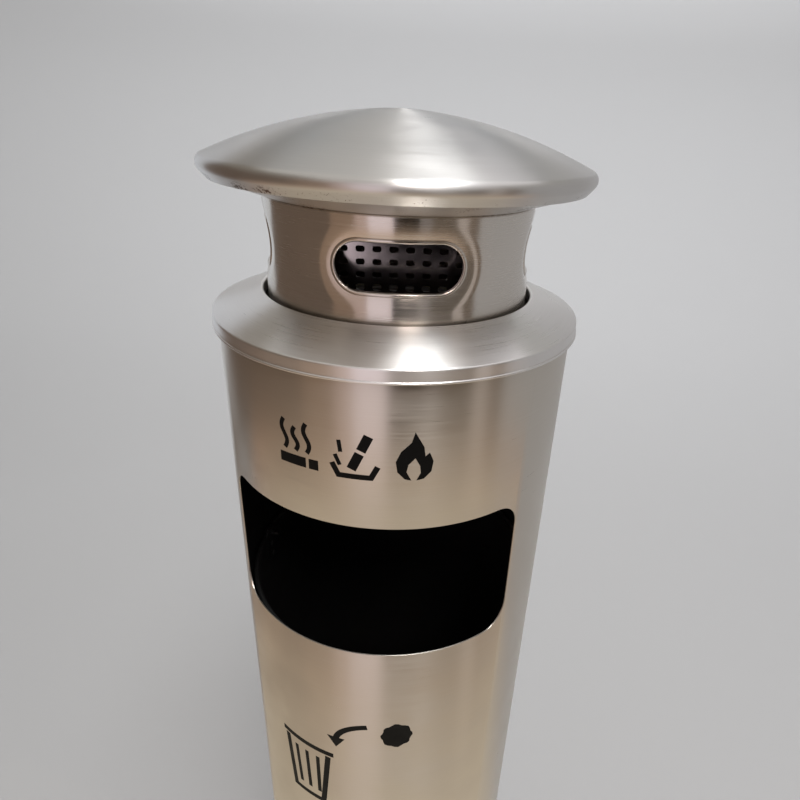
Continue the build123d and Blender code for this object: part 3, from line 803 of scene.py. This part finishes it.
neck_verts, neck_faces = neck_mesh()
neck = new_object("slotted_neck", neck_verts, [], neck_faces)
fold_top(neck)
face_outwards(neck)
neck.data.materials.append(NECK_STEEL)
# The neck's inner face gets the darkened steel, painted shade.
neck.data.materials.append(SHADED_INSIDE_STEEL)
thicken(neck, SHEET, inside=1)
make_plain(neck)
finish_shading(neck)
place(neck, "head", "stainless_neck", "neck_ring")

# %% [markdown]
# ## Punched screen
# Behind the slots stands a square cage of perforated sheet, which lets ash and air through but stops a
# burning end. A punching machine repeats one hole in rows and columns, and so does the tree: it fills a
# flat rectangle round a grid of rounded holes, stands it up, sweeps the corner beside it, and puts four
# copies round the axis.

# %% Sizes of the screen
SCREEN_FLAT = 55.0 * MM
SCREEN_CORNER = 7.0 * MM
SCREEN_LOW = skirt_z + 8.0 * MM
SCREEN_TOP = neck_top_z - SHEET
HOLE_LENGTH = 5.6 * MM
HOLE_HEIGHT = 3.8 * MM
HOLE_CORNER = 1.5 * MM
HOLE_PITCH = 10.3 * MM
ROW_PITCH = 7.9 * MM
HOLE_COLUMNS = 8
HOLE_ROWS = 8
HOLE_SHIFT = 1.65 * MM               # the field of holes, off the middle of its flat
ROW_MARGIN = 10.0 * MM               # the lowest row above the screen's lower edge
screen_height = SCREEN_TOP - SCREEN_LOW
print("holes in the cage:", SIDES * HOLE_COLUMNS * HOLE_ROWS)

# %% Perforation tree
SCREEN_INPUTS = {
    "Flat": SCREEN_FLAT, "Corner": SCREEN_CORNER, "Height": screen_height, "Hole Length": HOLE_LENGTH,
    "Hole Height": HOLE_HEIGHT, "Hole Corner": HOLE_CORNER, "Column Pitch": HOLE_PITCH,
    "Row Pitch": ROW_PITCH, "Shift": HOLE_SHIFT, "Margin": ROW_MARGIN,
}
SCREEN_COUNTS = {"Columns": HOLE_COLUMNS, "Rows": HOLE_ROWS, "Sides": SIDES}


def screen_tree():
    """Geometry Nodes tree for the cage. All of its sizes are inputs."""
    tree = bpy.data.node_groups.new("perforated_cage", "GeometryNodeTree")
    tree.interface.new_socket("Nothing", in_out="INPUT", socket_type="NodeSocketGeometry")
    for name in SCREEN_INPUTS:
        tree.interface.new_socket(name, in_out="INPUT", socket_type="NodeSocketFloat")
    for name in SCREEN_COUNTS:
        tree.interface.new_socket(name, in_out="INPUT", socket_type="NodeSocketInt")
    tree.interface.new_socket("Finish", in_out="INPUT", socket_type="NodeSocketMaterial")
    tree.interface.new_socket("Cage", in_out="OUTPUT", socket_type="NodeSocketGeometry")
    given = add(tree, "NodeGroupInput").outputs

    def math_of(operation, first, second):
        return calc(tree, operation, first, second)

    def point(**axes):
        return add(tree, "ShaderNodeCombineXYZ", axes).outputs[0]

    hole = geo(tree, "CurvePrimitiveQuadrilateral", {
        "Width": given["Hole Length"], "Height": given["Hole Height"],
    })
    hole = geo(tree, "FilletCurve", {
        "Curve": hole, "Count": 5, "Radius": given["Hole Corner"],
    }, mode="POLY")
    grid_width = math_of("MULTIPLY", math_of("SUBTRACT", given["Columns"], 1.0), given["Column Pitch"])
    grid_height = math_of("MULTIPLY", math_of("SUBTRACT", given["Rows"], 1.0), given["Row Pitch"])
    grid = geo(tree, "MeshGrid", {
        "Size X": grid_width, "Size Y": grid_height,
        "Vertices X": given["Columns"], "Vertices Y": given["Rows"],
    })
    holes = geo(tree, "InstanceOnPoints", {"Points": grid, "Instance": hole})
    holes = geo(tree, "RealizeInstances", {"Geometry": holes})
    middle = math_of("ADD", given["Margin"], math_of("MULTIPLY", grid_height, 0.5))
    holes = geo(tree, "Transform", {"Geometry": holes, "Translation": point(X=given["Shift"], Y=middle)})
    inset = math_of("SUBTRACT", given["Flat"], given["Corner"])
    blank = geo(tree, "CurvePrimitiveQuadrilateral", {
        "Width": math_of("MULTIPLY", inset, 2.0), "Height": given["Height"],
    })
    blank = geo(tree, "Transform", {
        "Geometry": blank, "Translation": point(Y=math_of("MULTIPLY", given["Height"], 0.5)),
    })
    flat = geo(tree, "FillCurve", {"Curve": joined(tree, holes, blank)}, mode="TRIANGLES")
    flat = geo(tree, "Transform", {
        "Geometry": flat, "Rotation": (math.pi / 2, 0, 0),
        "Translation": point(Y=math_of("MULTIPLY", given["Flat"], -1.0)),
    })
    bend = geo(tree, "CurveArc", {
        "Resolution": 9, "Radius": given["Corner"], "Start Angle": -math.pi / 2, "Sweep Angle": math.pi / 2,
    })
    bend = geo(tree, "CurveToMesh", {"Curve": bend})
    bend = geo(tree, "ExtrudeMesh", {
        "Mesh": bend, "Offset": point(Z=given["Height"]), "Offset Scale": 1.0,
    }, mode="EDGES")
    bend = geo(tree, "Transform", {
        "Geometry": bend, "Translation": point(X=inset, Y=math_of("MULTIPLY", inset, -1.0)),
    })
    places = geo(tree, "MeshLine", {"Count": given["Sides"], "Offset": (0, 0, 0)})
    number = geo(tree, "InputIndex")
    turn = math_of("MULTIPLY", number, math_of("DIVIDE", 2 * math.pi, given["Sides"]))
    cage = geo(tree, "InstanceOnPoints", {
        "Points": places, "Instance": joined(tree, flat, bend), "Rotation": point(Z=turn),
    })
    cage = geo(tree, "RealizeInstances", {"Geometry": cage})
    cage = geo(tree, "MergeByDistance", {"Geometry": cage, "Distance": 10 * WELD})
    cage = geo(tree, "SetMaterial", {"Geometry": cage, "Material": given["Finish"]})
    add(tree, "NodeGroupOutput", {"Cage": cage})
    return tree


screen = new_object("punched_screen", [], [], [])
run_tree(screen, screen_tree(), Finish=SCREEN_STEEL, **SCREEN_INPUTS, **SCREEN_COUNTS)
make_plain(screen)
screen.data.transform(Matrix.Translation((0, 0, SCREEN_LOW)) @ Matrix.Rotation(HEAD_TURN, 4, "Z"))
face_outwards(screen)
thicken(screen, SHEET)
make_plain(screen)
finish_shading(screen)
place(screen, "head", "stainless_screen", "stub_screen")

# %% [markdown]
# ## Printed signs
# Two signs are screen printed on the tube in black ink: three small pictures above the opening that say
# "put your cigarette out here", and a larger waste basket below it. They are generic pictures without
# words. Each shape is drawn flat in millimetres, cut into narrow strips so that it can bend, and wrapped
# round the tube as a film 0.05 mm thick.

# %% Shapes of the signs
INK_FILM = 0.05 * MM
STRIP = 2.0                          # width in mm of the strips that let a sign bend
STROKE = 3.6                         # line width of the small pictures, in mm
BOLD = 5.0                           # line width of the basket, in mm


def stroke(points, width):
    """Outline of a line of points drawn with a flat pen."""
    line = [Vector(point) for point in points]
    return left_of(line, width / 2) + left_of(line, -width / 2)[::-1]


def blob(x, y, radius, sides, unevenness=0.0):
    """Round or crumpled outline."""
    turns = [2 * math.pi * i / sides for i in range(sides)]
    return [
        Vector((x, y)) + unit(t) * radius * (1 + unevenness * math.sin(5 * t) * math.cos(3 * t + 1))
        for t in turns
    ]


def wave(x, low, high):
    """A rising thread of smoke."""
    count = 16
    return [
        (x + 1.8 * math.sin(2 * math.pi * i / count), low + (high - low) * i / count)
        for i in range(count + 1)
    ]


def stubbed_out():
    """A cigarette pressed into a tray."""
    return [
        stroke([(-14, -7), (-10, -15), (10, -15), (14, -7)], STROKE),
        stroke([(-2, -10), (3, 1)], 6.0),
        stroke([(3.9, 3), (8.5, 13.2)], 6.0),
        stroke([(-9, -8), (-12, -1)], 2.6),
        stroke([(-8.5, 1), (-9.5, 9)], 2.6),
    ]


def smoking():
    """A lying cigarette with smoke above it."""
    return [
        stroke([(-15, -12), (4, -12)], 7.0),
        stroke([(6, -12), (12.5, -12)], 7.0),
        stroke(wave(-11, -5, 15), 3.0),
        stroke(wave(-3, -5, 11), 3.0),
        stroke(wave(5, -5, 15), 3.0),
    ]


def flame():
    """A flame with a drop below it."""
    left = [(0, 17), (-2, 10), (-8, 4), (-11, -3), (-10, -10), (-5.5, -15), (-1.5, -16)]
    inner = [(-4.5, -10), (-3.5, -5), (0.5, -0.5), (3.5, -6), (4, -11), (1.5, -16)]
    right = [(6, -15), (10.5, -10), (11.5, -3), (9, 3), (6.5, 0.5), (5.5, 7)]
    return [[Vector(point) for point in left + inner + right]]


def waste_basket():
    """A basket, a crumpled ball of paper and the way it goes in."""
    bow = [
        (14 - 33 * math.sin(math.radians(a)), -25 + 25 * math.cos(math.radians(a)))
        for a in range(12, 79, 6)
    ]
    tip = Vector(bow[-1])
    slats = [stroke([(-47 + 11 * i, -54), (-45 + 9.5 * i, -100)], 3.6) for i in (-1, 0, 1)]
    return slats + [
        stroke([(-73, -44), (-21, -44)], BOLD),
        stroke([(-68, -48), (-62, -110), (-32, -110), (-26, -48)], BOLD),
        stroke(bow, BOLD),
        [tip + Vector(point) for point in ((-7.5, 0.5), (7.5, 0.5), (0, -11))],
        blob(30, -9, 12.5, 30, 0.12),
    ]


print("shapes:", [len(drawn()) for drawn in (stubbed_out, smoking, flame, waste_basket)])


# %% Print them on the tube
def printed(name, shapes, height):
    """One printed sign: shapes in mm round a middle line at a height, wrapped round the tube."""
    work = bmesh.new()
    for outline in shapes:
        work.faces.new([work.verts.new((point.x, point.y, 0)) for point in outline])
    bmesh.ops.recalc_face_normals(work, faces=work.faces)
    bmesh.ops.triangulate(work, faces=work.faces)
    low = min(vert.co.x for vert in work.verts)
    high = max(vert.co.x for vert in work.verts)
    for i in range(1, int((high - low) / STRIP) + 1):
        everything = work.verts[:] + work.edges[:] + work.faces[:]
        bmesh.ops.bisect_plane(work, geom=everything, plane_co=(low + i * STRIP, 0, 0), plane_no=(1, 0, 0))
    for vert in work.verts:
        vert.co = on_tube(vert.co.x * MM / body_r, height + vert.co.y * MM, body_r + INK_FILM)
    sign = new_object(name, [], [], [])
    work.to_mesh(sign.data)
    work.free()
    face_outwards(sign)
    sign.data.materials.append(INK)
    thicken(sign, INK_FILM * 0.8)
    make_plain(sign)
    place(sign, "shell", None)


PICTURE_PITCH = 35.5
upper = [
    [point + Vector((PICTURE_PITCH * i, 0)) for point in outline]
    for i, drawn in zip((-1, 0, 1), (smoking, stubbed_out, flame)) for outline in drawn()
]
printed("cigarette_sign", upper, skirt_z - 48 * MM)
printed("basket_sign", waste_basket(), skirt_z - 290 * MM)

# %% [markdown]
# ## The CAD nodes that stay
# Rings, fasteners, the bucket and the handle already have their true shape, so they only need their
# finish. A CAD node's material goes into the slot it came with, and its mesh is not touched.

# %% Dress the CAD nodes
FINISHES = {
    "base_plate": GALVANISED, "base_ring": FOOT_PLASTIC, "foot_pads": RUBBER, "base_screws": ZINC,
    # The bucket, its ears and its rivets are near-black painted shade of the dark opening.
    "liner_wall": SHADE_BLACK_COAT, "liner_bottom": SHADE_BLACK_COAT, "liner_ears": SHADE_BLACK_COAT,
    "ear_rivets": SHADE_BLACK_COAT, "bail_handle": WIRE, "locating_ring": GALVANISED,
    "pan_holder": PAN_STEEL, "ash_pan": PAN_STEEL, "seat_ring": NYLON, "neck_screws": ZINC,
    "neck_nuts": ZINC, "cap_underside": DOME_STEEL,
}
for name, finish in FINISHES.items():
    for material_slot in nodes[name].material_slots:
        material_slot.material = finish
print("CAD nodes with a finish:", len(FINISHES))

# %% [markdown]
# ## Studio
# The floor is pale and plain and sweeps up into a wall all round the bin, so that no corner shows.
# Polished metal only looks like metal when it has something to reflect, so cards stand round the bin. Side
# by side they are a simple room: a bright window, the dark shape of a person, doors and walls. Long lights
# and a pale ceiling hang above. The camera doesn't see the cards.

# %% Floor and sweep
SWEEP_START = 2.4                    # where the floor starts to rise, from the axis
SWEEP_RADIUS = 1.4
SWEEP_STEPS = 16
SWEEP_SIDES = 72
WALL_HEIGHT = 4.2
quarter = [math.pi / 2 * i / SWEEP_STEPS for i in range(SWEEP_STEPS + 1)]
sweep = [(SWEEP_START + SWEEP_RADIUS * math.sin(a), SWEEP_RADIUS * (1 - math.cos(a))) for a in quarter]
sweep.append((SWEEP_START + SWEEP_RADIUS, WALL_HEIGHT))
rounds = [2 * math.pi * i / SWEEP_SIDES for i in range(SWEEP_SIDES)]
verts = [(r * math.sin(a), -r * math.cos(a), z) for a in rounds for r, z in sweep]
faces = [tuple(i * len(sweep) for i in range(SWEEP_SIDES))]
for i in range(SWEEP_SIDES):
    here, there = i * len(sweep), (i + 1) % SWEEP_SIDES * len(sweep)
    faces += [(here + k, here + k + 1, there + k + 1, there + k) for k in range(len(sweep) - 1)]
floor = new_object("floor", verts, [], faces)
floor.data.shade_smooth()
PAPER, _, paper = new_material("pale_backdrop_paper", Roughness=0.9)
paper.inputs["Base Color"].default_value = srgb("#a6a4a2")
floor.data.materials.append(PAPER)
print("sweep from", SWEEP_START, "m to", SWEEP_START + SWEEP_RADIUS, "m all round the bin")

# %% Card helpers
def card(name, corners, colour, strength, light=True, faces=None):
    """A glowing or dark card that the camera doesn't see. Without light, only reflections see it."""
    made = new_object(name, corners, [], faces or [tuple(range(len(corners)))])
    finish = bpy.data.materials.new(name)
    finish.use_nodes = True
    finish.node_tree.nodes.clear()
    glow = add(finish.node_tree, "ShaderNodeEmission", {"Color": srgb(colour), "Strength": strength})
    add(finish.node_tree, "ShaderNodeOutputMaterial", {"Surface": glow.outputs[0]})
    made.data.materials.append(finish)
    made.visible_camera = False
    made.visible_shadow = False
    made.visible_diffuse = light
    return made


def from_front(degrees):
    """A bearing measured from the way the head faces, positive towards the viewer's left."""
    return HEAD_TURN - math.radians(degrees)


print("the head faces", round(math.degrees(from_front(0))), "degrees to one side of the opening")

# %% The room, card by card
ROOM_REACH = 1.5                     # from the axis to the wall cards
ROOM_HEIGHT = 1.7                    # top of the doors and of the window
CEILING_HEIGHT = 2.4
UNDER_CEILING = CEILING_HEIGHT - 0.05


def wall(name, start, end, colour, strength=1.0, low=0.0, high=ROOM_HEIGHT, parts=6):
    """A card that stands between two bearings at the room's reach, bent into a number of flat parts."""
    corners = []
    for i in range(parts + 1):
        bearing = from_front(start + (end - start) * i / parts)
        corners.append((ROOM_REACH * math.sin(bearing), -ROOM_REACH * math.cos(bearing)))
    outline = [(x, y, low) for x, y in corners] + [(x, y, high) for x, y in reversed(corners)]
    faces = [(i, i + 1, 2 * parts - i, 2 * parts + 1 - i) for i in range(parts)]
    return card(name, outline, colour, strength, light=False, faces=faces)


wall("grey_wall", -150, -65, "#b4b4b6")
wall("door_frame_right", -65, -55, "#786c62")
wall("white_door", -55, -45, "#c0b8b4")
wall("dark_door", -45, -25, "#686058")
wall("grey_door", -25, -15, "#888484")
wall("person", -15, 5, "#080606")
wall("window", 5, 25, "#f8ecf4", 1.1)
wall("curtain", 25, 35, "#d0bab4")
wall("beige_wall", 35, 55, "#968070")
wall("brown_door", 55, 125, "#706258")
wall("pale_wall", 125, 150, "#d4d8de")
wall("wall_above_left", 60, 150, "#969086", low=ROOM_HEIGHT, high=UNDER_CEILING)
wall("wall_above_right", -150, -60, "#b6b6b4", low=ROOM_HEIGHT, high=UNDER_CEILING)
wall("wall_above_back", 150, 210, "#909ca6", low=ROOM_HEIGHT, high=UNDER_CEILING)
print("walls stand", ROOM_REACH, "m from the axis")

# %% Ceiling and its lights
ceiling_turn = Matrix.Rotation(HEAD_TURN, 3, "Z")


def overhead(name, left, right, near, far, colour, strength=1.0):
    """A card under the ceiling, lying along the way the head faces."""
    corners = [(left, near), (right, near), (right, far), (left, far)]
    return card(name, [ceiling_turn @ Vector((x, y, CEILING_HEIGHT)) for x, y in corners], colour, strength)


overhead("strip_light_end", 0.03, 0.5, -1.8, -0.9, "#fff4f0", 12.0)
overhead("strip_light", 0.03, 0.55, -0.9, -0.25, "#f4faff", 21.5)
overhead("side_lamp", 0.36, 0.55, -0.25, 0.8, "#f8fcff", 3.3)
overhead("lamp_housing", 0.2, 0.36, -0.25, 0.8, "#f0f2f4")
overhead("dark_beam", 0.03, 0.2, -0.25, 1.3, "#000000")
overhead("grey_beam", 0.2, 0.55, 0.8, 1.3, "#807880")
overhead("dark_far_ceiling", 0.03, 0.5, 1.3, 2.4, "#000000")
overhead("ceiling_left", -1.5, 0.02, -1.8, 2.4, "#e8e8e6")
overhead("ceiling_right", 0.56, 1.5, -1.8, 2.4, "#fafaff", 1.3)
print("ceiling", CEILING_HEIGHT, "m above the floor")

# %% Floor in reflections
PATCH_HEIGHT = 1 * MM


def floor_patch(name, near, far, colour):
    """A bit more than half a ring of warm floor in front of the bin, seen only in reflections."""
    bearings = [math.radians(degrees) for degrees in range(-100, 101, 10)]
    inner = [(near * math.sin(a), -near * math.cos(a), PATCH_HEIGHT) for a in bearings]
    outer = [(far * math.sin(a), -far * math.cos(a), PATCH_HEIGHT) for a in reversed(bearings)]
    return card(name, inner + outer, colour, 1.0, light=False)


floor_patch("near_floor", 0.2, 1.0, "#e4dac6")
floor_patch("far_floor", 1.0, ROOM_REACH, "#d4b49c")
print("reflected floor reaches", ROOM_REACH, "m")

# %% Light on the wall, and the air
WASH_LENGTH = 7.0
WASH_WIDTH = 0.6
WASH_POWER = 230
WASH_PLACE = (0, 2.3, 3.6)           # high up, and turned towards the wall behind the bin
WASH_TILT = math.radians(40)
wash = bpy.data.objects.new("wall_wash", bpy.data.lights.new("wall_wash", "AREA"))
wash.data.shape = "RECTANGLE"
wash.data.size = WASH_LENGTH
wash.data.size_y = WASH_WIDTH
wash.data.energy = WASH_POWER
wash.data.color = srgb("#f3f8ff")[:3]
wash.location = WASH_PLACE
wash.rotation_euler = (WASH_TILT, 0, 0)
wash.visible_glossy = False
bpy.context.scene.collection.objects.link(wash)

world = bpy.data.worlds.new("studio_air")
world.use_nodes = True
air = world.node_tree.nodes["Background"]
air.inputs["Color"].default_value = srgb("#d2d2d2")
air.inputs["Strength"].default_value = 1.0
bpy.context.scene.world = world
